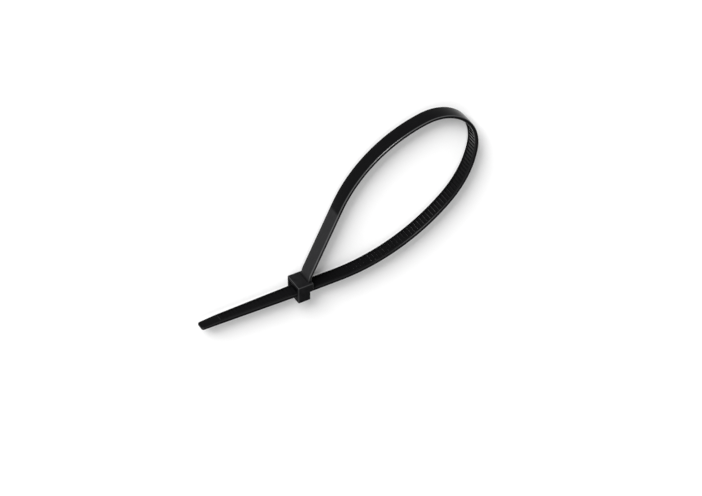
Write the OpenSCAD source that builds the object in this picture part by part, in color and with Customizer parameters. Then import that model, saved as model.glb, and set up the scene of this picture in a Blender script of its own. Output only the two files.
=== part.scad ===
// Cable tie closed in a loop, lying on its side.
// X runs along the slot of the head, towards the loop. Y runs along the strap where it leaves the head.
// Z is up, across the width of the strap. The origin is on the side face that the head rests on.

/* [Strap] */
// Length of the whole tie when it is laid straight
tie_length = 200; // [190:1:240]
// Width of the strap
strap_w = 4.8; // [4.4:0.1:5.4]
// Thickness of the strap over its side rails
strap_t = 1.1; // [1:0.05:1.3]
// Width of each side rail beside the teeth
rail_w = 0.75; // [0.6:0.05:0.9]
// Stretch beside the head that has no teeth
plain_length = 24; // [18:1:28]

/* [Teeth] */
// Distance from one tooth to the next
tooth_pitch = 1.2; // [1.1:0.05:1.3]
// Height of a tooth above the floor between the rails
tooth_h = 0.38; // [0.3:0.02:0.42]
// Depth of the toothed channel below the rails
channel_depth = 0.45; // [0.42:0.01:0.5]
// Flat land on top of a tooth
tooth_land = 0.12; // [0.08:0.02:0.2]

/* [Loop] */
// Radius of the bend beside the head
neck_r = 5; // [4:0.5:7]
// Turn of the bend beside the head
neck_turn = 26; // [23:1:27]
// Radius of the bend before the crown of the loop
shoulder_r = 39; // [36:1:42]
// Turn of the bend before the crown
shoulder_turn = 54; // [51:1:58]
// Radius of the crown, the tightest bend of the loop
crown_r = 14.5; // [12.5:0.5:16.5]
// Turn of the crown
crown_turn = 108; // [107:1:112]
// Radius of the bend after the crown
flank_r = 28; // [25:1:31]
// Turn of the bend after the crown
flank_turn = 39; // [36:1:42]
// Radius of the long bend that leads back to the slot
return_r = 54; // [49:1:59]

/* [Head] */
// Width of the head, across the strap
head_w = 6.8; // [6.6:0.1:8]
// Thickness of the head, along the slot
head_t = 5; // [4.8:0.1:5.8]
// Length of the head, along the strap
head_l = 5.9; // [5.7:0.1:7]
// Wall between the slot and the outer end of the head
end_wall = 1.85; // [1.6:0.05:2.1]
// Wall between the pawl's recess and the strap's root
root_wall = 0.9; // [0.7:0.05:1.1]
// Wall at the entry face that the pawl is hinged on
hinge_wall = 0.9; // [0.7:0.05:1.1]
// How far the head stands back from the entry face under the slot and beside it
entry_step = 1.05; // [0.8:0.05:1.3]
// Corner radius of the outer end
end_round = 1.3; // [0.8:0.1:1.6]
// Corner radius beside the strap's root
root_round = 0.3; // [0.2:0.05:0.5]
// Bevel round the entry face and the exit face
face_bevel = 0.25; // [0.1:0.05:0.35]
// Size of the web that braces the strap's root on its outer side
web_size = 0.3; // [0.2:0.05:0.5]

/* [Pawl] */
// Teeth on the pawl
pawl_teeth = 3; // [2:1:3]
// Thickness of the pawl behind its teeth
pawl_t = 0.85; // [0.6:0.05:1]
// Thickness of the pawl where it bends
pawl_hinge_t = 0.5; // [0.4:0.05:0.7]
// Nose of the pawl past its last tooth
pawl_nose = 0.35; // [0.2:0.05:0.45]
// Open gap on each side of the pawl
pawl_side_gap = 0.45; // [0.3:0.05:0.6]

/* [Tail] */
// Width of the strap at the tip of the tail
tip_w = 3.3; // [3:0.1:3.8]
// Thickness of the strap at the tip of the tail
tip_t = 0.75; // [0.6:0.05:0.9]
// Stretch at the tip that has no teeth
tip_plain = 6; // [4:0.5:9]
// Bevel on the two corners of the tip
tip_bevel = 0.4; // [0.2:0.1:0.8]

/* [Clearances] */
// Gap between the strap and the slot, above and below
slot_gap = 0.1; // [0.08:0.01:0.14]
// Gap between the strap's edges and the sides of the slot
slot_side_gap = 0.15; // [0.1:0.01:0.2]
// Gap between the pawl's teeth and the strap's teeth
mesh_gap = 0.08; // [0.06:0.01:0.1]

/* [Hidden] */
$fn = 180;
nylon_black = [0.10, 0.10, 0.11];
// Overlap that joins two solids, and the margin by which a cut passes a face
bite = 0.05;
cut_margin = 1;
// Largest turn between two points of the strap's outline
facet_turn = 2;

// Height of the strap's middle above the resting face
mid_z = head_w / 2;
channel_w = strap_w - 2 * rail_w;
channel_floor = channel_depth - strap_t / 2;
slot_w = strap_w + 2 * slot_side_gap;
slot_half = strap_t / 2 + slot_gap;

entry_x = head_t / 2;
exit_x = -head_t / 2;
step_x = entry_x - entry_step;
hinge_x = entry_x - hinge_wall;
end_y = -slot_half - end_wall;
root_y = end_y + head_l;
recess_y = root_y - root_wall;
root_x = entry_x - strap_t / 2;
// The strap starts this far inside the head's root wall
root_sink = root_wall / 2;

// The bends of the loop in order, each a radius and a turn to the right
loop_turn = 270;
return_turn = loop_turn - neck_turn - shoulder_turn - crown_turn - flank_turn;
bends = [
    [neck_r, neck_turn],
    [shoulder_r, shoulder_turn],
    [crown_r, crown_turn],
    [flank_r, flank_turn],
    [return_r, return_turn]
];

// Climb of a chain of bends along Y, from a heading in degrees
function climb(chain, heading, i = 0) =
    i == len(chain) ? 0 :
    chain[i][0] * (cos(heading - chain[i][1]) - cos(heading))
    + climb(chain, heading - chain[i][1], i + 1);

// Advance of a chain of bends along X, from a heading in degrees
function advance(chain, heading, i = 0) =
    i == len(chain) ? 0 :
    chain[i][0] * (sin(heading) - sin(heading - chain[i][1]))
    + advance(chain, heading - chain[i][1], i + 1);

// The straight rise after the neck is as long as brings the loop back onto the slot's axis
root_heading = 90;
rise_heading = root_heading - neck_turn;
rise_length = -(root_y + climb(bends, root_heading)) / sin(rise_heading);
loop_end_x = root_x + advance(bends, root_heading) + rise_length * cos(rise_heading);

// Legs of the path: a radius and a turn for a bend, or a zero and a length for a straight
legs = [
    [0, root_sink],
    bends[0],
    [0, rise_length],
    bends[1],
    bends[2],
    bends[3],
    bends[4],
    [0, loop_end_x - exit_x]
];
path_start = [root_x, root_y - root_sink, root_heading];

function leg_length(leg) = leg[0] > 0 ? leg[0] * leg[1] * PI / 180 : leg[1];

// The first stretch of a leg, of a given length
function leg_stretch(leg, length) = leg[0] > 0 ? [leg[0], length / leg[0] * 180 / PI] : [0, length];

// Place and heading at the end of a leg that starts at a place and heading
function leg_end(pose, leg) =
    leg[0] > 0
    ? [
        pose[0] + leg[0] * (sin(pose[2]) - sin(pose[2] - leg[1])),
        pose[1] + leg[0] * (cos(pose[2] - leg[1]) - cos(pose[2])),
        pose[2] - leg[1]
    ]
    : [pose[0] + leg[1] * cos(pose[2]), pose[1] + leg[1] * sin(pose[2]), pose[2]];

// Length of the path up to the start of a leg
function run_to(i) = i == 0 ? 0 : run_to(i - 1) + leg_length(legs[i - 1]);

// Place and heading at a distance along the path; the last leg goes on without end
function on_path(s, i = 0, pose = path_start) =
    i == len(legs) - 1 || s <= leg_length(legs[i])
    ? leg_end(pose, leg_stretch(legs[i], s))
    : on_path(s - leg_length(legs[i]), i + 1, leg_end(pose, legs[i]));

// Point beside the path; a positive side is outside the loop
function beside(s, side) =
    let (pose = on_path(s))
    [pose[0] - side * sin(pose[2]), pose[1] + side * cos(pose[2])];

// The rest of the length is the tail that stands out of the exit face
run_to_exit = run_to(len(legs));
tail_length = tie_length - head_l - (run_to_exit - root_sink);
tip_x = exit_x - tail_length;
teeth_end_x = tip_x + tip_plain;
tip_run = run_to_exit + tail_length;
teeth_end_run = tip_run - tip_plain;
// Distances along the path at which the outline has a point: one for each small turn of a bend
path_stations = concat(
    [
        for (i = [0 : len(legs) - 1])
            let (steps = legs[i][0] > 0 ? ceil(legs[i][1] / facet_turn) : 1)
            for (j = [0 : steps - 1])
                run_to(i) + leg_length(legs[i]) * j / steps
    ],
    [run_to_exit]
);
// The taper starts just inside the exit face
taper_x = exit_x + face_bevel;

// Teeth of the strap and the pawl share one grid, which starts at the pawl's first tooth
pawl_tip_x = exit_x + face_bevel + pawl_nose;
grid_run = run_to_exit - (pawl_tip_x - exit_x);
teeth_before = floor((grid_run - plain_length - root_sink) / tooth_pitch);
teeth_after = floor((pawl_tip_x - teeth_end_x) / tooth_pitch);
tooth_slope = tooth_h / (tooth_pitch - tooth_land);

// Half the width of the tapered tail at a place along X
function tail_half(x) = (strap_w - (strap_w - tip_w) * (taper_x - x) / (taper_x - tip_x)) / 2;

// Rectangle with its own corner radius at the low end and at the high end
module rounded_block(low, high, half, low_r, high_r) {
    translate([low + low_r, -half]) square([high - low - low_r - high_r, 2 * half]);
    translate([low, low_r - half]) square([low_r + bite, 2 * (half - low_r)]);
    translate([high - high_r - bite, high_r - half]) square([high_r + bite, 2 * (half - high_r)]);
    for (side = [-1, 1]) {
        translate([low + low_r, side * (half - low_r)]) circle(r = low_r);
        translate([high - high_r, side * (half - high_r)]) circle(r = high_r);
    }
}

// Solid across the strap from an outline in X and Y
module across(width) {
    translate([0, 0, mid_z - width / 2]) linear_extrude(width) children();
}

// Solid along Y, from low to high, from an outline in X and Z about the strap's middle
module upright(low, high) {
    translate([0, high, mid_z]) rotate([90, 0, 0]) linear_extrude(high - low) children();
}

// Solid block of the strap along its whole path, with a tip that grows thinner
module strap_blank() {
    stations = [for (s = path_stations) if (s < teeth_end_run) s];
    outer = [for (s = stations) beside(s, strap_t / 2)];
    inner = [for (i = [len(stations) - 1 : -1 : 0]) beside(stations[i], -strap_t / 2)];
    tip = [
        beside(tip_run, strap_t / 2),
        beside(tip_run, strap_t / 2 - tip_t),
        beside(teeth_end_run, -strap_t / 2)
    ];
    across(strap_w) polygon(concat(outer, tip, inner));
}

// Two wedges that taper the tail, with a steeper cut at each corner of the tip
module tail_taper() {
    past = strap_w;
    for (side = [-1, 1])
        upright(-strap_t, strap_t)
            polygon([
                [taper_x, side * strap_w / 2],
                [tip_x + tip_bevel, side * tail_half(tip_x + tip_bevel)],
                [tip_x, side * (tip_w / 2 - tip_bevel)],
                [tip_x - cut_margin, side * (tip_w / 2 - tip_bevel - cut_margin)],
                [tip_x - cut_margin, side * past],
                [taper_x, side * past]
            ]);
}

// Side outline of the channel, down to the teeth, each with its steep face towards the head's root
module channel_outline() {
    tip = channel_floor - tooth_h;
    open_side = -strap_t / 2 - channel_depth;
    start = grid_run - teeth_before * tooth_pitch;
    end = grid_run + teeth_after * tooth_pitch;
    teeth = [
        for (i = [1 - teeth_before : teeth_after - 1])
            for (step = [[0, channel_floor], [0, tip], [tooth_land, tip]])
                beside(grid_run + i * tooth_pitch + step[0], step[1])
    ];
    opening = [
        for (i = [teeth_after : -1 : -teeth_before])
            beside(grid_run + i * tooth_pitch, open_side)
    ];
    polygon(concat([beside(start, channel_floor)], teeth, [beside(end, channel_floor)], opening));
}

// Plan of the channel in X and Z: even along the loop, narrower along the tail
module channel_plan() {
    end_half = tail_half(teeth_end_x) - rail_w;
    polygon([
        [tie_length, -channel_w / 2],
        [tie_length, channel_w / 2],
        [taper_x, channel_w / 2],
        [teeth_end_x, end_half],
        [teeth_end_x, -end_half],
        [taper_x, -channel_w / 2]
    ]);
}

// Strap: its block, less the taper of the tail and the toothed channel between the rails
module strap() {
    difference() {
        strap_blank();
        tail_taper();
        intersection() {
            across(strap_w) channel_outline();
            upright(-strap_t, tie_length) channel_plan();
        }
    }
}

// Outer form of the head: rounded across the strap, bevelled round the slot and stepped at its entry
module head_block() {
    intersection() {
        translate([exit_x, 0, mid_z])
            rotate([90, 0, 90])
                linear_extrude(head_t)
                    rounded_block(end_y, root_y, head_w / 2, end_round, root_round);
        across(head_w)
            polygon([
                [exit_x, end_y + face_bevel],
                [exit_x + face_bevel, end_y],
                [step_x - face_bevel, end_y],
                [step_x, end_y + face_bevel],
                [step_x, slot_half],
                [entry_x, slot_half],
                [entry_x, root_y],
                [exit_x + face_bevel, root_y],
                [exit_x, root_y - face_bevel]
            ]);
    }
}

// Slot for the strap, flared at the entry, and the recess behind the pawl
module head_cavity() {
    across(slot_w)
        polygon([
            [exit_x - cut_margin, -slot_half],
            [step_x - face_bevel, -slot_half],
            [step_x, -slot_half - face_bevel],
            [entry_x + cut_margin, -slot_half - face_bevel],
            [entry_x + cut_margin, slot_half + face_bevel],
            [entry_x, slot_half + face_bevel],
            [entry_x - face_bevel, slot_half],
            [hinge_x, slot_half],
            [hinge_x, recess_y],
            [exit_x - cut_margin, recess_y]
        ]);
}

// Pawl: a tongue that bends at the entry wall and reaches to the exit, with teeth towards the strap
module pawl() {
    tooth_tip_y = -channel_floor + mesh_gap;
    tooth_root_y = tooth_tip_y + tooth_slope * tooth_pitch;
    tongue_y = slot_half + mesh_gap;
    tongue_back_y = tongue_y + pawl_t;
    last_x = pawl_tip_x + mesh_gap + pawl_teeth * tooth_pitch;
    across(channel_w - 2 * slot_side_gap)
        polygon(concat(
            [
                for (i = [0 : pawl_teeth - 1])
                    for (step = [[0, tooth_tip_y], [tooth_pitch, tooth_root_y]])
                        [pawl_tip_x + mesh_gap + i * tooth_pitch + step[0], step[1]]
            ],
            [[last_x, tongue_y + bite], [pawl_tip_x + mesh_gap, tongue_y + bite]]
        ));
    across(slot_w - 2 * pawl_side_gap)
        polygon([
            [pawl_tip_x - pawl_nose, tongue_y],
            [hinge_x + bite, tongue_y],
            [hinge_x + bite, tongue_y + pawl_hinge_t],
            [hinge_x - pawl_hinge_t, tongue_y + pawl_hinge_t],
            [hinge_x - 2 * pawl_hinge_t, tongue_back_y],
            [pawl_tip_x - pawl_nose, tongue_back_y]
        ]);
}

// Web between the head and the outer side of the strap's root
module root_web() {
    web_rise = 2 * web_size;
    across(strap_w)
        polygon([
            [root_x - strap_t / 2 - web_size, root_y - bite],
            [root_x, root_y - bite],
            [root_x, root_y + web_rise],
            [root_x - strap_t / 2 - web_size, root_y]
        ]);
}

module cable_tie() {
    color(nylon_black) {
        difference() {
            head_block();
            head_cavity();
        }
        pawl();
        root_web();
        strap();
    }
}

cable_tie();
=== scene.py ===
# %% [markdown]
# A cable tie, closed in a loop and lying on its side.
# The real tie is one moulding of black nylon: a head with a spring pawl, a flat strap with saw teeth,
# and a tail that has been pulled through the head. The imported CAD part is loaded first. It fixes where
# everything is, and the finished mesh made below is set over it.

# %% Load the frame
import math

import bmesh
import bpy
from mathutils import Matrix, Vector


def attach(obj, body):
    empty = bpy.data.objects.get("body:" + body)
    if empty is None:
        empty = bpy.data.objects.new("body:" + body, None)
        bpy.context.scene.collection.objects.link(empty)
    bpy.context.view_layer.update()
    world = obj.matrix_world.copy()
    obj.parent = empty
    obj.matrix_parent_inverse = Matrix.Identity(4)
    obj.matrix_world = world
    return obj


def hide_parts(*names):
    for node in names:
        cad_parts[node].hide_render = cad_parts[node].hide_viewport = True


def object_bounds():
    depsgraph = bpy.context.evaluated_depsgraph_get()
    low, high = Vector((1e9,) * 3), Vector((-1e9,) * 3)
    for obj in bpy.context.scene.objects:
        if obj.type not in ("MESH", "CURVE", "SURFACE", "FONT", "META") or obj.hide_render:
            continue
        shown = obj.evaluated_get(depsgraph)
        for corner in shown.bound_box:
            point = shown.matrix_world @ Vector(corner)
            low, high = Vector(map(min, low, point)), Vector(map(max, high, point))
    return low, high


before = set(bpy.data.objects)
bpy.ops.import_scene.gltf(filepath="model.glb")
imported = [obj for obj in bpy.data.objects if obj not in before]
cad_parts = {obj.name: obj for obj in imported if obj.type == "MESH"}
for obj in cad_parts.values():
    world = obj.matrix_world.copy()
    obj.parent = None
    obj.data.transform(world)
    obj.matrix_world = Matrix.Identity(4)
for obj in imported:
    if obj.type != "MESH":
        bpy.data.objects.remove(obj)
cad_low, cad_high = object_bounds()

MM = 0.001
print("CAD box in mm:", [round(v / MM, 3) for v in (*cad_low, *cad_high)])

# %% [markdown]
# Everything below is written in millimetres and turned into metres when a mesh is made.
# The width of the head, its outer end and the tip of the tail are read from the frame. The other sizes
# are the driving sizes of the CAD part, so that the finished mesh lies on the CAD one. Edges that are
# square or bevelled there are rounded here, and the corners of the head's outer end are tighter, as
# they look square from a step away.

# %% Sizes of the strap and its teeth
STRAP_W = 4.8
STRAP_T = 1.1
RAIL_W = 0.75
PLAIN_LENGTH = 24
TOOTH_PITCH = 1.2
TOOTH_H = 0.38
TOOTH_LAND = 0.12
CHANNEL_DEPTH = 0.45
TIP_W = 3.3
TIP_T = 0.75
TIP_PLAIN = 6
channel_half = STRAP_W / 2 - RAIL_W
channel_floor = CHANNEL_DEPTH - STRAP_T / 2

# %% Sizes of the head and its pawl
HEAD_T = 5
ROOT_WALL = 0.9
HINGE_WALL = 0.9
ENTRY_STEP = 1.05
END_ROUND = 0.4
ROOT_ROUND = 0.3
WEB_SIZE = 0.3
FACE_ROUND = 0.25
SLOT_GAP = 0.1
SLOT_SIDE_GAP = 0.15
HEAD_L = 5.9
head_w = cad_high.z / MM
mid_z = head_w / 2
end_y = cad_low.y / MM
root_y = end_y + HEAD_L
entry_x = HEAD_T / 2
exit_x = -HEAD_T / 2
step_x = entry_x - ENTRY_STEP
tip_x = cad_low.x / MM
slot_half = STRAP_T / 2 + SLOT_GAP
slot_w = STRAP_W + 2 * SLOT_SIDE_GAP
print(f"head {HEAD_T} x {HEAD_L} x {head_w:.2f} mm, tail tip at x = {tip_x:.2f} mm")

# %% [markdown]
# The strap follows one line in the plane of the loop. It leaves the head upwards, turns to the right
# through a chain of bends, and comes back along the axis of the slot. Each leg of the line is either a
# bend, given by its radius and its turn, or a straight, given by its length. One straight isn't known
# in advance: the rise after the neck has to be just as long as brings the line back to the slot.

# %% The line of the strap
ROOT_HEADING = 90
NECK = (5, 26)
SHOULDER = (39, 54)
CROWN = (14.5, 108)
FLANK = (28, 39)
RETURN_R = 54
LOOP_TURN = 270
ROOT_SINK = ROOT_WALL / 2
return_turn = LOOP_TURN - NECK[1] - SHOULDER[1] - CROWN[1] - FLANK[1]
bends = [NECK, SHOULDER, CROWN, FLANK, (RETURN_R, return_turn)]
root_x = entry_x - STRAP_T / 2


def leg_end(place, leg):
    """Place and heading at the end of a leg that starts at a place and heading."""
    x, y, heading = place
    radius, turn = leg
    start, stop = math.radians(heading), math.radians(heading - turn)
    if radius == 0:
        return x + turn * math.cos(start), y + turn * math.sin(start), heading
    return (
        x + radius * (math.sin(start) - math.sin(stop)),
        y + radius * (math.cos(stop) - math.cos(start)),
        heading - turn,
    )


def chain_end(place, chain):
    """Place and heading at the end of a chain of legs."""
    for leg in chain:
        place = leg_end(place, leg)
    return place


bends_end = chain_end((root_x, root_y, ROOT_HEADING), bends)
rise_heading = math.radians(ROOT_HEADING - NECK[1])
rise_length = -bends_end[1] / math.sin(rise_heading)
loop_end_x = bends_end[0] + rise_length * math.cos(rise_heading)
legs = [(0, ROOT_SINK), NECK, (0, rise_length), *bends[1:], (0, loop_end_x - exit_x)]
print(f"rise {rise_length:.2f} mm, loop closes at x = {loop_end_x:.2f} mm")

# %% Any place on the line
def leg_length(leg):
    return leg[1] if leg[0] == 0 else leg[0] * math.radians(leg[1])


def on_line(run):
    """Place and heading at a distance along the line; the last leg goes on without end."""
    place = (root_x, root_y - ROOT_SINK, ROOT_HEADING)
    for leg in legs[:-1]:
        length = leg_length(leg)
        if run <= length:
            part = run if leg[0] == 0 else math.degrees(run / leg[0])
            return leg_end(place, (leg[0], part))
        place = leg_end(place, leg)
        run -= length
    return leg_end(place, (0, run))


def beside(run, out, across):
    """Point in metres at a distance along the line, so far outside the loop and so far across."""
    x, y, heading = on_line(run)
    turn = math.radians(heading)
    return Vector((x - out * math.sin(turn), y + out * math.cos(turn), mid_z + across)) * MM


run_to_exit = sum(leg_length(leg) for leg in legs)
tip_run = run_to_exit + exit_x - tip_x
print(f"line {run_to_exit:.2f} mm to the exit, {tip_run:.2f} mm to the tip")

# %% [markdown]
# The section of the strap is a flat bar with a channel on the inner side. Moulded edges are never
# sharp, and the round on them is what catches the light as a thin bright line. So the section is drawn
# with small arcs at its corners. It is swept along the line as rings of points. The floor of the
# channel moves up and down from ring to ring, and that makes the teeth in the same sweep.

# %% Half of the section
EDGE_R = 0.27
RAIL_R = 0.38
FLAT_SIDE = 0.1
LIP_R = 0.06
EDGE_STEPS = 6
LIP_STEPS = 2


def arc(centre, radius, start, stop, steps):
    """Points of an arc, from one angle in degrees to another."""
    angles = [math.radians(start + (stop - start) * i / steps) for i in range(steps + 1)]
    return [(centre[0] + radius * math.cos(a), centre[1] + radius * math.sin(a)) for a in angles]


def half_section(half, outer, inner, floor, floor_half, lip):
    """Points (across, out) from the middle of the outer face to the middle of the inner face."""
    room = min((outer - inner) / (EDGE_R + RAIL_R + FLAT_SIDE), 1)
    edge_r, rail_r = EDGE_R * room, RAIL_R * room
    points = [(0, outer)]
    points += arc((half - edge_r, outer - edge_r), edge_r, 90, 0, EDGE_STEPS)
    points += arc((half - rail_r, inner + rail_r), rail_r, 0, -90, EDGE_STEPS)
    points += arc((floor_half + lip, inner + lip), lip, -90, -180, LIP_STEPS)
    points += [(floor_half, floor), (0, floor)]
    return points


def ring(run, half, outer, inner, floor, floor_half, lip):
    """One closed ring of points round the strap."""
    side = half_section(half, outer, inner, floor, floor_half, lip)
    other = [(-across, out) for across, out in reversed(side[1:-1])]
    return [beside(run, out, across) for across, out in side + other]


full_ring = ring(0, STRAP_W / 2, STRAP_T / 2, -STRAP_T / 2, channel_floor, channel_half, LIP_R)
print("points in one ring:", len(full_ring))

# %% [markdown]
# Each tooth is a saw tooth. Its steep face looks back towards the root of the strap, so the strap
# slides through the head one way only. Three rings make the steep face with a small round at its tip,
# and three more bring the long slope down to the floor. Teeth are counted from the pawl's first tooth.

# %% Rings of the teeth
PAWL_NOSE = 0.35
TOOTH_DRAFT = 0.03
TOOTH_ROUND = 0.05
SLOPE_STEPS = 3
pawl_tip_x = exit_x + FACE_ROUND + PAWL_NOSE
grid_run = run_to_exit - (pawl_tip_x - exit_x)
teeth_end_x = tip_x + TIP_PLAIN
teeth_before = math.floor((grid_run - PLAIN_LENGTH - ROOT_SINK) / TOOTH_PITCH)
teeth_after = math.floor((pawl_tip_x - teeth_end_x) / TOOTH_PITCH)
channel_start = grid_run - teeth_before * TOOTH_PITCH
channel_end = grid_run + teeth_after * TOOTH_PITCH


def tooth_rings(start):
    """(run, height) of the rings of one tooth."""
    rings = [
        (start, 0),
        (start + TOOTH_DRAFT, TOOTH_H - TOOTH_ROUND),
        (start + TOOTH_DRAFT + TOOTH_ROUND / 2, TOOTH_H),
    ]
    for step in range(SLOPE_STEPS):
        share = step / SLOPE_STEPS
        run = start + TOOTH_LAND + (TOOTH_PITCH - TOOTH_LAND) * share
        rings.append((run, TOOTH_H * (1 - share)))
    return rings


toothed = []
for number in range(1 - teeth_before, teeth_after):
    toothed += tooth_rings(grid_run + number * TOOTH_PITCH)
print(f"{teeth_before + teeth_after - 1} teeth, {len(toothed)} rings")

# %% [markdown]
# Beside the head the strap grows out of a web on its outer side and a small fillet on its edges. From
# there it is plain up to the first tooth. Past the exit of the head it grows narrower, and its last
# stretch also grows thinner, so that the tip finds the slot. The tip itself is rounded in plan.

# %% How the section changes along the strap
WEB_RISE = 2 * WEB_SIZE
WEB_CURVE = 1.6
ROOT_FILLET = 0.2
CHANNEL_RUN_IN = 0.5
TIP_ROUND = 0.7
TIP_EDGE = 0.12
taper_x = exit_x + FACE_ROUND


def fillet(distance, radius):
    """How far a fillet stands out at a distance from its foot."""
    if distance >= radius:
        return 0
    return radius - math.sqrt(radius ** 2 - (radius - distance) ** 2)


def tail_half(x):
    """Half the width of the tapered tail at a place along X."""
    share = (taper_x - x) / (taper_x - tip_x)
    return (STRAP_W - (STRAP_W - TIP_W) * min(max(share, 0), 1)) / 2


def strap_ring(run, tooth):
    """Ring of the strap at a distance along the line, with a tooth of some height."""
    past_root = max(run - ROOT_SINK, 0)
    in_tail = run > run_to_exit - FACE_ROUND
    half = tail_half(exit_x - (run - run_to_exit)) if in_tail else STRAP_W / 2
    floor_half = half - RAIL_W
    web = WEB_SIZE * max(1 - past_root / WEB_RISE, 0) ** WEB_CURVE
    half += fillet(past_root, ROOT_FILLET)
    from_tip = tip_run - run
    thin = max(1 - from_tip / TIP_PLAIN, 0)
    inner = -STRAP_T / 2 + (STRAP_T - TIP_T) * thin
    opened = min(max((run - channel_start) / CHANNEL_RUN_IN, 0), 1)
    opened = min(opened, max((channel_end - run) / CHANNEL_RUN_IN, 0))
    floor = inner + (CHANNEL_DEPTH - tooth) * opened
    half -= fillet(from_tip, TIP_ROUND)
    edge = fillet(from_tip, TIP_EDGE)
    outer = STRAP_T / 2 + web - edge
    return ring(run, half, outer, inner + edge, floor + edge, floor_half, LIP_R * opened)


# %% Where the rings stand
PLAIN_STEP = 0.45
FILLET_STEPS = 8
TIP_STEPS = 9


def even_runs(start, stop, step):
    """Distances from one to another, at even steps of about a given length."""
    count = max(math.ceil((stop - start) / step), 1)
    return [start + (stop - start) * i / count for i in range(count)]


foot = [ROOT_SINK + WEB_RISE * (i / FILLET_STEPS) ** 2 for i in range(FILLET_STEPS)]
plain = even_runs(ROOT_SINK + WEB_RISE, channel_start, PLAIN_STEP)
run_in = even_runs(channel_start, channel_start + TOOTH_PITCH, CHANNEL_RUN_IN / 2)
run_out = even_runs(channel_end, tip_run - TIP_ROUND, PLAIN_STEP)
rounded = [tip_run - TIP_ROUND * (1 - i / TIP_STEPS) ** 2 for i in range(TIP_STEPS + 1)]
stations = [(run, 0) for run in [0, *foot, *plain, *run_in]]
stations += toothed
stations += [(run, 0) for run in run_out + rounded]
print("rings along the strap:", len(stations))

# %% [markdown]
# The rings are joined into quads, and both ends are closed. Each point also keeps three numbers for the
# material: how far along the strap it is, how far from the middle, and whether it is on a rounded edge.
# Handling rubs the outer edges first, so they turn glossier than the faces, and a little paler from wear
# and from a painted highlight. A finish that has to follow the strap round its bends reads these
# numbers, as plain coordinates can't give them.

# %% Marks for the finish
# The edge marks make the rubbed edges glossier, and paint them paler as wear and painted highlight.
RAIL_WEAR_AND_HIGHLIGHT = 0.15
WEAR_AND_HIGHLIGHT_RUN_IN = 2.5


def section_marks():
    """A number for each point of half a section: 0 on a face, 1 in the middle of an outer edge."""
    outer_edge = [math.sin(math.pi * i / EDGE_STEPS) for i in range(EDGE_STEPS + 1)]
    rail = [RAIL_WEAR_AND_HIGHLIGHT * mark for mark in outer_edge]
    lip = [0] * (LIP_STEPS + 1)
    floor = [0, 0]
    return [0, *outer_edge, *rail, *lip, *floor]


def round_ring(half_marks):
    """Numbers for a whole ring from those of its half."""
    return half_marks + half_marks[-2:0:-1]


def wear_and_highlight_at(run):
    """Fingers don't reach the corner beside the head, so the wear, and the painted highlight on it, fade
    in from there.
    """
    return min(max(run - ROOT_SINK, 0) / WEAR_AND_HIGHLIGHT_RUN_IN, 1)


# %% Mesh of the strap
JOIN_GAP = 0.0005
SHARP_ANGLE = 35


def swept(name, rings, marks):
    """Closed mesh through a list of rings, with an attribute for each list of marks."""
    mesh = bpy.data.meshes.new(name)
    size = len(rings[0])
    points = [point for one in rings for point in one]
    faces = []
    for i in range(len(rings) - 1):
        for j in range(size):
            a, b = i * size + j, i * size + (j + 1) % size
            faces.append((a, b, b + size, a + size))
    last = (len(rings) - 1) * size
    faces += [tuple(range(size)), tuple(range(last, last + size))]
    mesh.from_pydata(points, [], faces)
    for key, values in marks.items():
        mesh.attributes.new(key, "FLOAT", "POINT").data.foreach_set("value", values)
    piece = bpy.data.objects.new(name, mesh)
    bpy.context.scene.collection.objects.link(piece)
    return piece


def tidy_mesh(piece):
    """Joins points that coincide, turns all faces outwards and sets which edges look sharp."""
    work = bmesh.new()
    work.from_mesh(piece.data)
    bmesh.ops.remove_doubles(work, verts=work.verts, dist=JOIN_GAP * MM)
    bmesh.ops.recalc_face_normals(work, faces=work.faces)
    work.to_mesh(piece.data)
    work.free()
    piece.data.shade_smooth()
    piece.data.set_sharp_from_angle(angle=math.radians(SHARP_ANGLE))
    print(piece.name, len(piece.data.vertices), "points,", len(piece.data.polygons), "faces")


rings = [strap_ring(run, tooth) for run, tooth in stations]
ring_size = len(rings[0])
half_ring = half_section(STRAP_W / 2, STRAP_T / 2, -STRAP_T / 2, channel_floor, channel_half, LIP_R)
strap = swept("strap", rings, {
    "along": [run for run, tooth in stations for _ in range(ring_size)],
    "across": round_ring([across for across, out in half_ring]) * len(stations),
    "edge": [mark * wear_and_highlight_at(run) for run, tooth in stations for mark in round_ring(section_marks())],
})
tidy_mesh(strap)

# %% [markdown]
# The head is two blocks. One is the full length of the head, with small rounds at its outer end. The
# other, above the slot, reaches further at the entry, where it carries the pawl and the strap's root.
# Each is lofted along the slot from rounded outlines that shrink a little at the faces, which gives
# every outer edge a soft round. The second starts inside the first, in the middle of the head. The slot,
# its flared mouth and the recess behind the pawl are then cut out with a Boolean, as a mould core would
# form them, and a fine Bevel takes the sharpness off the edges that are left.

# %% Blocks of the head
CORNER_STEPS = 10
ROUND_STEPS = 6
LEAST_R = 0.03


def head_outline(low, low_r, inset):
    """Points (y, z) of an outline from a low end up to the root face, drawn in by a small distance."""
    low, high, half = low + inset, root_y - inset, head_w / 2 - inset
    wide, tight = max(low_r - inset, LEAST_R), max(ROOT_ROUND - inset, LEAST_R)
    points = arc((high - tight, half - tight), tight, 0, 90, CORNER_STEPS)
    points += arc((low + wide, half - wide), wide, 90, 180, CORNER_STEPS)
    points += arc((low + wide, wide - half), wide, 180, 270, CORNER_STEPS)
    points += arc((high - tight, tight - half), tight, 270, 360, CORNER_STEPS)
    return points


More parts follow.
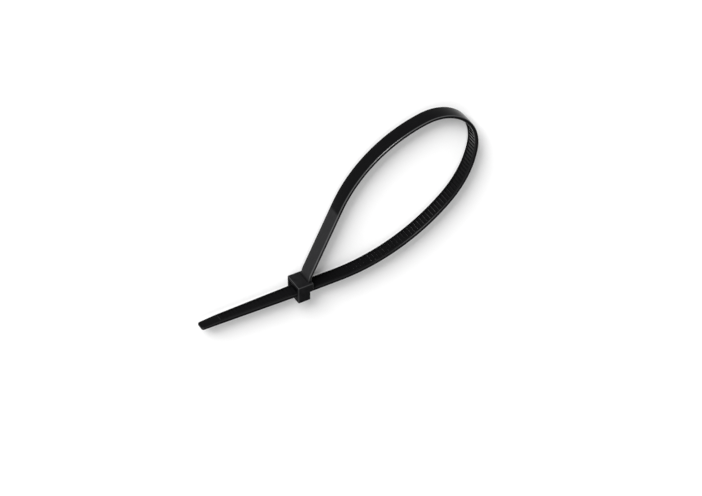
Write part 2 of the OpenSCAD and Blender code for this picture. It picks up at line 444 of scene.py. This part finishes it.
def head_block(name, start_x, stop_x, low, low_r):
    """Block along the slot whose outline is drawn in towards both ends."""
    rings = []
    steps_in = range(ROUND_STEPS + 1)
    for end_x, inwards, steps in ((start_x, 1, steps_in), (stop_x, -1, reversed(steps_in))):
        for step in steps:
            turn = math.radians(90 * step / ROUND_STEPS)
            x = end_x + inwards * FACE_ROUND * (1 - math.cos(turn))
            inset = FACE_ROUND * (1 - math.sin(turn))
            rings.append([Vector((x, y, mid_z + z)) * MM for y, z in head_outline(low, low_r, inset)])
    block = swept(name, rings, {})
    tidy_mesh(block)
    return block


head = head_block("head", exit_x, step_x, end_y, END_ROUND)
root_block = head_block("root_block", 0, entry_x, slot_half, LEAST_R)

# %% Cutter for the slot and the recess
CUT_MARGIN = 1
recess_y = root_y - ROOT_WALL
hinge_x = entry_x - HINGE_WALL


def prism(name, outline, width):
    """Closed mesh across the strap from an outline in x and y."""
    low = [Vector((x, y, mid_z - width / 2)) * MM for x, y in outline]
    high = [Vector((x, y, mid_z + width / 2)) * MM for x, y in outline]
    piece = swept(name, [low, high], {})
    tidy_mesh(piece)
    return piece


cavity_outline = [
    (exit_x - CUT_MARGIN, -slot_half),
    (step_x - FACE_ROUND, -slot_half),
    (step_x, -slot_half - FACE_ROUND),
    (entry_x + CUT_MARGIN, -slot_half - FACE_ROUND),
    (entry_x + CUT_MARGIN, slot_half + FACE_ROUND),
    (entry_x, slot_half + FACE_ROUND),
    (entry_x - FACE_ROUND, slot_half),
    (hinge_x, slot_half),
    (hinge_x, recess_y),
    (exit_x - CUT_MARGIN, recess_y),
]
cutter = prism("slot_cutter", cavity_outline, slot_w)

# %% Cut and soften the head
EDGE_SOFT = 0.07
SOFT_SEGMENTS = 2
SOFT_ANGLE = 40


def apply_modifiers(piece):
    """Puts what the modifiers make into the piece's own mesh."""
    graph = bpy.context.evaluated_depsgraph_get()
    made = bpy.data.meshes.new_from_object(piece.evaluated_get(graph))
    piece.modifiers.clear()
    piece.data = made


def soften(piece, width):
    """Rounds all edges that are sharper than an angle."""
    bevel = piece.modifiers.new("edge round", "BEVEL")
    bevel.width = width * MM
    bevel.segments = SOFT_SEGMENTS
    bevel.limit_method = "ANGLE"
    bevel.angle_limit = math.radians(SOFT_ANGLE)
    bevel.use_clamp_overlap = True
    apply_modifiers(piece)


def combine(piece, other, operation):
    """Joins another piece to a piece, or cuts it out, and removes the other."""
    step = piece.modifiers.new(operation.lower(), "BOOLEAN")
    step.operation = operation
    step.solver = "EXACT"
    step.object = other
    apply_modifiers(piece)
    bpy.data.objects.remove(other)


combine(head, root_block, "UNION")
combine(head, cutter, "DIFFERENCE")
soften(head, EDGE_SOFT)
tidy_mesh(head)

# %% [markdown]
# The pawl is the tongue that locks the strap. It is hinged at the entry side of the recess and reaches
# to the exit, where its end stands in the dark opening. Its teeth fit the strap's teeth with a small
# gap. Tongue and teeth are two prisms that run into each other.

# %% The pawl
PAWL_TEETH = 3
PAWL_T = 0.85
PAWL_HINGE_T = 0.5
PAWL_SIDE_GAP = 0.45
MESH_GAP = 0.08
BITE = 0.05
PAWL_SOFT = 0.05
tongue_y = slot_half + MESH_GAP
tooth_tip_y = -channel_floor + MESH_GAP
tooth_rise = TOOTH_H / (TOOTH_PITCH - TOOTH_LAND) * TOOTH_PITCH
tongue = prism("pawl_tongue", [
    (pawl_tip_x - PAWL_NOSE, tongue_y),
    (hinge_x + BITE, tongue_y),
    (hinge_x + BITE, tongue_y + PAWL_HINGE_T),
    (hinge_x - PAWL_HINGE_T, tongue_y + PAWL_HINGE_T),
    (hinge_x - 2 * PAWL_HINGE_T, tongue_y + PAWL_T),
    (pawl_tip_x - PAWL_NOSE, tongue_y + PAWL_T),
], slot_w - 2 * PAWL_SIDE_GAP)
soften(tongue, PAWL_SOFT)
saw = []
for number in range(PAWL_TEETH):
    tooth_x = pawl_tip_x + MESH_GAP + number * TOOTH_PITCH
    saw += [(tooth_x, tooth_tip_y), (tooth_x + TOOTH_PITCH, tooth_tip_y + tooth_rise)]
saw += [(saw[-1][0], tongue_y + BITE), (saw[0][0], tongue_y + BITE)]
pawl_teeth = prism("pawl_teeth", saw, 2 * channel_half - 2 * SLOT_SIDE_GAP)
soften(pawl_teeth, PAWL_SOFT / 2)
tidy_mesh(tongue)
tidy_mesh(pawl_teeth)

# %% [markdown]
# The edges of the head are marked too. Here the mark is read from the normal, which leans away from the
# axes of the part where one face bends into the next. At the border of a flat face it leans a little
# too, so a small lean doesn't count. A second number marks the slot, the recess and the pawl. No hand
# reaches in there, so their edges are not rubbed. Their walls also leave out the mottle, which paints
# shade into the cavity and keeps them black.

# %% Marks of the head
FACE_LEAN = 0.4
NEAR = 0.02


def lean(one, other):
    """1 where a normal leans evenly two ways, and 0 where it leans one way only."""
    return 2 * abs(one) * abs(other)


def in_cavity(x, y, z):
    """Whether a point in mm lies on the slot or the recess, or on an edge of their openings."""
    low_y, high_y = -slot_half - FACE_ROUND - EDGE_SOFT, recess_y + EDGE_SOFT
    return abs(z - mid_z) < slot_w / 2 + EDGE_SOFT + NEAR and low_y - NEAR < y < high_y + NEAR


def edge_mark(x, y, z, normal):
    """0 on a flat face and in the cavity, 1 in the middle of an outer edge's round."""
    mark = lean(normal.x, math.hypot(normal.y, normal.z))
    if y > root_y - 2 * ROOT_ROUND:
        mark += lean(normal.y, normal.z)
    mark = min(max(mark - FACE_LEAN, 0) / (1 - FACE_LEAN), 1)
    return 0 if in_cavity(x, y, z) else mark


def inside_mark(x, y, z):
    """1 on the walls of the cavity, where shade is painted, and 0 outside and on the faces round its
    openings.
    """
    return float(in_cavity(x, y, z) and exit_x + NEAR < x < entry_x - NEAR)


def mark_points(piece):
    """Keeps both numbers at each point of a piece."""
    places = [tuple(vertex.co / MM) for vertex in piece.data.vertices]
    edges = [edge_mark(*place, vertex.normal) for place, vertex in zip(places, piece.data.vertices)]
    insides = [inside_mark(*place) for place in places]
    for key, values in (("edge", edges), ("inside", insides)):
        piece.data.attributes.new(key, "FLOAT", "POINT").data.foreach_set("value", values)
    on_edge = sum(mark > 0.5 for mark in edges)
    print(f"{piece.name}: {on_edge} points on an edge, {sum(insides):.0f} inside")


for piece in (head, tongue, pawl_teeth):
    mark_points(piece)

# %% [markdown]
# A finish is built from nodes. The small classes below let it be written as plain sums: a Field is one
# output of a node, and adding or multiplying Fields adds Math nodes to the same material.

# %% Shader sums
class Field:
    """One output of a shader node. Sums on it add Math nodes."""

    def __init__(self, finish, socket):
        self.finish = finish
        self.socket = socket

    def sum_node(self, operation, first, second):
        return self.finish.node("ShaderNodeMath", {"operation": operation}, {0: first, 1: second})

    def __add__(self, other):
        return self.sum_node("ADD", self, other)

    def __radd__(self, other):
        return self.sum_node("ADD", other, self)

    def __sub__(self, other):
        return self.sum_node("SUBTRACT", self, other)

    def __rsub__(self, other):
        return self.sum_node("SUBTRACT", other, self)

    def __mul__(self, other):
        return self.sum_node("MULTIPLY", self, other)

    def __rmul__(self, other):
        return self.sum_node("MULTIPLY", other, self)


class Finish:
    """A material whose shader is fed from nodes."""

    def __init__(self, name):
        self.material = bpy.data.materials.new(name)
        self.material.use_nodes = True
        self.tree = self.material.node_tree
        self.shader = self.tree.nodes["Principled BSDF"]

    def node(self, kind, settings=None, sockets=None, output=0):
        """Adds a node: its settings first, then the values or links of its sockets."""
        made = self.tree.nodes.new(kind)
        for key, value in (settings or {}).items():
            setattr(made, key, value)
        for key, value in (sockets or {}).items():
            self.feed(made.inputs[key], value)
        return Field(self, made.outputs[output])

    def feed(self, socket, value):
        if isinstance(value, Field):
            self.tree.links.new(value.socket, socket)
        else:
            socket.default_value = value

    def set(self, **sockets):
        """Feeds the main shader; underscores stand for spaces."""
        for key, value in sockets.items():
            self.feed(self.shader.inputs[key.replace("_", " ")], value)


# %% [markdown]
# Black nylon is dyed all through, so wear makes it only a little paler. What the eye reads is its sheen.
# The strap is smooth, with faint lines along the way the melt flowed. The head has the finer, more even
# grain of a spark-eroded mould. Both stay nearly black, and the light does most of the rest. Some light
# is painted into the colour: a painted highlight on the rubbed edges and a painted sheen on the strap's
# plain stretch. A flat face gets very little gloss, or it would mirror the pale floor. The gloss sits on
# the rubbed edges, as a coat whose weight is the edge mark. A little sheen gives the pale bloom that
# shows where the strap's outer side turns away from the eye.

# %% Steps that the finishes share
NYLON_IOR = 1.53
NYLON_SPECULAR = 0.02
BURNISH_ROUGHNESS = 0.25
DEEP_BLACK = (0.0014, 0.0014, 0.0016, 1)
# Pale end of the colour, for dust, wear and painted light.
DUST_AND_PAINTED_LIGHT_BLACK = (0.04, 0.04, 0.0412, 1)


def object_place(finish):
    """Place on the object, in metres."""
    return finish.node("ShaderNodeTexCoord", output="Object")


def point_mark(finish, name):
    """A number that the mesh keeps at its points."""
    return finish.node("ShaderNodeAttribute", {"attribute_name": name}, output="Fac")


def noise(finish, vector, scale, detail=3, rough=0.55):
    """Noise from 0 to 1; scale is the number of waves in a metre."""
    return finish.node("ShaderNodeTexNoise", {"noise_dimensions": "3D"}, {
        "Vector": vector,
        "Scale": scale,
        "Detail": detail,
        "Roughness": rough,
    })


def step_up(finish, value, low, high):
    """Smooth step from 0 to 1 between two values."""
    return finish.node("ShaderNodeMapRange", {"interpolation_type": "SMOOTHSTEP"}, {
        "Value": value,
        "From Min": low,
        "From Max": high,
    })


def blend_colours(finish, factor, first, second):
    """Colour between two others. The Mix node repeats its socket names, so numbers are used."""
    sockets = {0: factor, 6: first, 7: second}
    return finish.node("ShaderNodeMix", {"data_type": "RGBA"}, sockets, output=2)


def bump(finish, height, distance):
    """Normals from a height of 0 to 1 that stands for a distance in mm."""
    return finish.node("ShaderNodeBump", None, {
        "Height": height,
        "Distance": distance * MM,
        "Strength": 1.0,
    })


# %% [markdown]
# Dust and painted light are how far the colour goes from the deep black to the pale one. On the strap,
# the cloud is dust. The plain stretch gets a painted sheen, streaked along the flow lines, and the
# rubbed edges get a painted highlight on top of their wear. The painted sheen fades in over the plain
# stretch's first millimetre, which leaves the thin dark line that the photo shows beside the head. Waves
# are counted per metre, and those of the flow lines per millimetre, along and across the strap. Relief
# is in millimetres.

# %% Finish of the strap
FLOW_ALONG = 0.35
FLOW_ACROSS = 6
GRAIN_WAVES = 9000
CLOUD_WAVES = 350
FOOT_FADE = 1.0
PLAIN_FADE = 0.5
CLOUD_DUST = 0.03
PLAIN_PAINTED_SHEEN = 0.07
FLOW_PAINTED_SHEEN = 0.4
EDGE_WEAR_AND_HIGHLIGHT = 0.95
STRAP_ROUGHNESS = 0.3
FLOW_ROUGHNESS = 0.12
PLAIN_ROUGHNESS = 0.06
GRAIN_SHARE = 0.4
FLOW_SHARE = 0.6
STRAP_RELIEF = 0.012
STRAP_BURNISH = 1.0
BLOOM = 0.17
BLOOM_ROUGHNESS = 0.3
strap_finish = Finish("strap nylon")
along = point_mark(strap_finish, "along")
across = point_mark(strap_finish, "across")
edge = point_mark(strap_finish, "edge")
flow_place = strap_finish.node("ShaderNodeCombineXYZ", None, {
    "X": along * FLOW_ALONG,
    "Y": across * FLOW_ACROSS,
})
flow = noise(strap_finish, flow_place, 1.0, detail=4)
grain = noise(strap_finish, object_place(strap_finish), GRAIN_WAVES, detail=2)
cloud = noise(strap_finish, object_place(strap_finish), CLOUD_WAVES)
past_foot = step_up(strap_finish, along, ROOT_SINK, ROOT_SINK + FOOT_FADE)
past_plain = step_up(strap_finish, along, PLAIN_LENGTH - PLAIN_FADE, PLAIN_LENGTH + PLAIN_FADE)
on_plain = past_foot - past_plain
# The cloud share is dust. The plain share is a painted sheen, and the edge share is wear plus a painted
# highlight.
dust_and_painted_light = cloud * CLOUD_DUST + on_plain * (PLAIN_PAINTED_SHEEN + flow * FLOW_PAINTED_SHEEN) + edge * EDGE_WEAR_AND_HIGHLIGHT
strap_finish.set(
    Base_Color=blend_colours(strap_finish, dust_and_painted_light, DEEP_BLACK, DUST_AND_PAINTED_LIGHT_BLACK),
    Roughness=STRAP_ROUGHNESS + flow * FLOW_ROUGHNESS + on_plain * PLAIN_ROUGHNESS,
    Normal=bump(strap_finish, grain * GRAIN_SHARE + flow * FLOW_SHARE, STRAP_RELIEF),
    Coat_Weight=edge * STRAP_BURNISH,
    Coat_Roughness=BURNISH_ROUGHNESS,
    Sheen_Weight=BLOOM,
    Sheen_Roughness=BLOOM_ROUGHNESS,
    IOR=NYLON_IOR,
    Specular_IOR_Level=NYLON_SPECULAR,
)
print("strap nylon:", len(strap_finish.tree.nodes), "nodes")

# %% [markdown]
# The outer faces of the head carry a fine mottle of dust, and its edges are rubbed less than those of
# the strap, with a weaker painted highlight. The walls of the slot and the recess have no rubbed edges,
# and the mottle is left out there as painted shade.

# %% Finish of the head
SPARK_WAVES = 7000
SPARK_ROUGH = 0.7
MOTTLE_WAVES = 600
MOTTLE_DUST = 0.25
HEAD_EDGE_WEAR_AND_HIGHLIGHT = 0.35
HEAD_ROUGHNESS = 0.36
MOTTLE_ROUGHNESS = 0.12
HEAD_RELIEF = 0.015
HEAD_BURNISH = 0.6
head_finish = Finish("head nylon")
head_edge = point_mark(head_finish, "edge")
inside = point_mark(head_finish, "inside")
spark = noise(head_finish, object_place(head_finish), SPARK_WAVES, rough=SPARK_ROUGH)
mottle = noise(head_finish, object_place(head_finish), MOTTLE_WAVES)
# Painted shade: the mottle is left out in the cavity. The edge share is wear plus a painted highlight.
head_dust_and_painted_light = mottle * MOTTLE_DUST * (1 - inside) + head_edge * HEAD_EDGE_WEAR_AND_HIGHLIGHT
head_finish.set(
    Base_Color=blend_colours(head_finish, head_dust_and_painted_light, DEEP_BLACK, DUST_AND_PAINTED_LIGHT_BLACK),
    Roughness=HEAD_ROUGHNESS + mottle * MOTTLE_ROUGHNESS,
    Normal=bump(head_finish, spark, HEAD_RELIEF),
    Coat_Weight=head_edge * HEAD_BURNISH,
    Coat_Roughness=BURNISH_ROUGHNESS,
    IOR=NYLON_IOR,
    Specular_IOR_Level=NYLON_SPECULAR,
)
print("head nylon:", len(head_finish.tree.nodes), "nodes")

# %% [markdown]
# The real tie is one moulding, so the parts are joined into one object. It takes the place of the CAD
# node and rides on the one body.

# %% One moulding
strap.data.materials.append(strap_finish.material)
for piece in (head, tongue, pawl_teeth):
    piece.data.materials.clear()
    piece.data.materials.append(head_finish.material)
with bpy.context.temp_override(
    active_object=strap,
    object=strap,
    selected_objects=[strap, head, tongue, pawl_teeth],
    selected_editable_objects=[strap, head, tongue, pawl_teeth],
):
    bpy.ops.object.join()
strap.name = "nylon_tie"
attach(strap, "root")
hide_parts("cable_tie")
print("one piece:", len(strap.data.polygons), "faces, materials", [m.name for m in strap.data.materials])

# %% [markdown]
# The floor is a plain pale sheet at the height of the face that the head rests on. It reaches far out,
# so that a low view has floor up to the horizon.

# %% Floor
FLOOR_REACH = 12
FLOOR_WAVES = 3
FLOOR_PALE = (0.9, 0.9, 0.9, 1)
FLOOR_PALER = (0.92, 0.92, 0.92, 1)
FLOOR_ROUGHNESS = 0.9
FLOOR_SPECULAR = 0.1
floor_mesh = bpy.data.meshes.new("floor")
corners = [(-1, -1), (1, -1), (1, 1), (-1, 1)]
floor_points = [(x * FLOOR_REACH, y * FLOOR_REACH, cad_low.z) for x, y in corners]
floor_mesh.from_pydata(floor_points, [], [(0, 1, 2, 3)])
floor = bpy.data.objects.new("floor", floor_mesh)
bpy.context.scene.collection.objects.link(floor)
floor_finish = Finish("pale floor")
floor_tint = noise(floor_finish, object_place(floor_finish), FLOOR_WAVES, detail=2)
floor_finish.set(
    Base_Color=blend_colours(floor_finish, floor_tint, FLOOR_PALE, FLOOR_PALER),
    Roughness=FLOOR_ROUGHNESS,
    Specular_IOR_Level=FLOOR_SPECULAR,
)
floor_mesh.materials.append(floor_finish.material)

# %% [markdown]
# The photograph looks at the tie from the side of its tail, with the loop going away to the upper
# right. The direction to the camera and the direction that is up in the picture were worked out from
# the outline of the loop. A long lens keeps the picture nearly free of perspective. Soft shadows fall
# to the lower right of the strap, so the main lamp stands low at the upper left of the picture.

# %% Camera
TO_CAMERA = Vector((-0.369, 0.663, 0.652)).normalized()
PICTURE_UP = Vector((0.326, 0.749, -0.577))
AIM = Vector((16.6, 8.8, 3.9)) * MM
VIEW_WIDTH = 204.7
LENS = 200
camera_data = bpy.data.cameras.new("camera")
camera_data.lens = LENS
distance = VIEW_WIDTH * MM * LENS / camera_data.sensor_width
camera = bpy.data.objects.new("camera", camera_data)
bpy.context.scene.collection.objects.link(camera)
right = PICTURE_UP.cross(TO_CAMERA).normalized()
up = TO_CAMERA.cross(right)
turn = Matrix((right, up, TO_CAMERA)).transposed().to_4x4()
camera.matrix_world = Matrix.Translation(AIM + TO_CAMERA * distance) @ turn
bpy.context.scene.camera = camera
print(f"camera {distance:.3f} m away")

# %% Lamps
LAMP_DISTANCE = 7.2
WORLD_STRENGTH = 0.37


def soft_lamp(name, azimuth, elevation, size, watts):
    """Square soft lamp that looks at the tie; azimuth is counted from +X towards +Y."""
    a, e = math.radians(azimuth), math.radians(elevation)
    towards = Vector((math.cos(a) * math.cos(e), math.sin(a) * math.cos(e), math.sin(e)))
    data = bpy.data.lights.new(name, "AREA")
    data.size = size
    data.energy = watts
    lamp = bpy.data.objects.new(name, data)
    lamp.location = AIM + towards * LAMP_DISTANCE
    lamp.rotation_mode = "QUATERNION"
    lamp.rotation_quaternion = towards.to_track_quat("Z", "Y")
    bpy.context.scene.collection.objects.link(lamp)
    print(f"{name}: {watts} W")


soft_lamp("main lamp", azimuth=121, elevation=22, size=3.0, watts=1070)
soft_lamp("top lamp", azimuth=200, elevation=70, size=3.6, watts=90)
world = bpy.data.worlds.new("studio")
world.use_nodes = True
background = world.node_tree.nodes["Background"]
background.inputs["Color"].default_value = (1, 1, 1, 1)
background.inputs["Strength"].default_value = WORLD_STRENGTH
bpy.context.scene.world = world
bpy.context.scene.view_settings.view_transform = "Standard"
